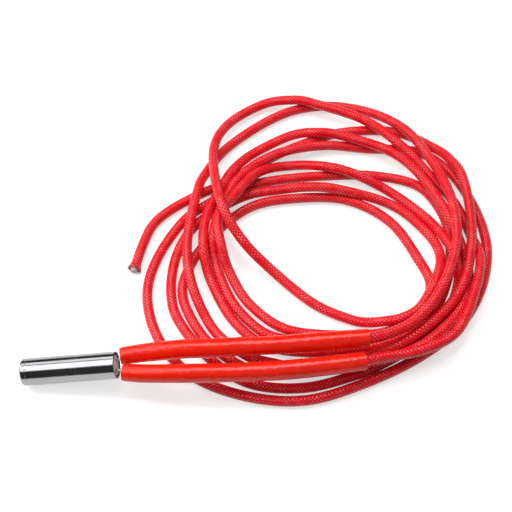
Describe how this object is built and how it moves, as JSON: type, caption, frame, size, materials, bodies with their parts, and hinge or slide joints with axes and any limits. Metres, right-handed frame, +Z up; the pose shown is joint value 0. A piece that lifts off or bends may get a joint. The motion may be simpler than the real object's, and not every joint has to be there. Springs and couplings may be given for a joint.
{
  "type": "cartridge heater",
  "caption": "Small round steel cartridge heater with one closed end, silicone-coated sleeves at the open end and long braided leads lying in a loose coil.",
  "frame": {"origin": "centre of the sheath's open rim, where the leads leave", "axes": "+X from the heater towards its leads along the bench, +Z up; the bench is 6.6 mm below the origin"},
  "size_m": [0.1069, 0.0831, 0.0103],
  "materials": {
    "steel": "ground and polished",
    "magnesia": "pressed ceramic",
    "cement": "set cement",
    "resistance_wire": "drawn",
    "nickel": "drawn",
    "copper": "stranded",
    "sleeving": "semi-gloss silicone",
    "braid": "varnished glass braid",
    "insulation": "cut silicone"
  },
  "bodies": {
    "root": {"sheath": "steel", "end_cap": "steel", "tip_wafer": "magnesia", "ceramic_core": "magnesia", "heating_wire": "resistance_wire", "magnesia_fill": "magnesia", "end_seal": "cement", "pin_upper": "nickel", "pin_lower": "nickel", "crimp_upper": "nickel", "crimp_lower": "nickel", "conductor_upper": "copper", "conductor_lower": "copper", "sleeve_upper": "sleeving", "sleeve_lower": "sleeving", "lead_upper": "braid", "lead_lower": "braid", "insulation_upper": "insulation", "insulation_lower": "insulation", "strands_upper": "copper", "strands_lower": "copper"}
  },
  "joints": []
}
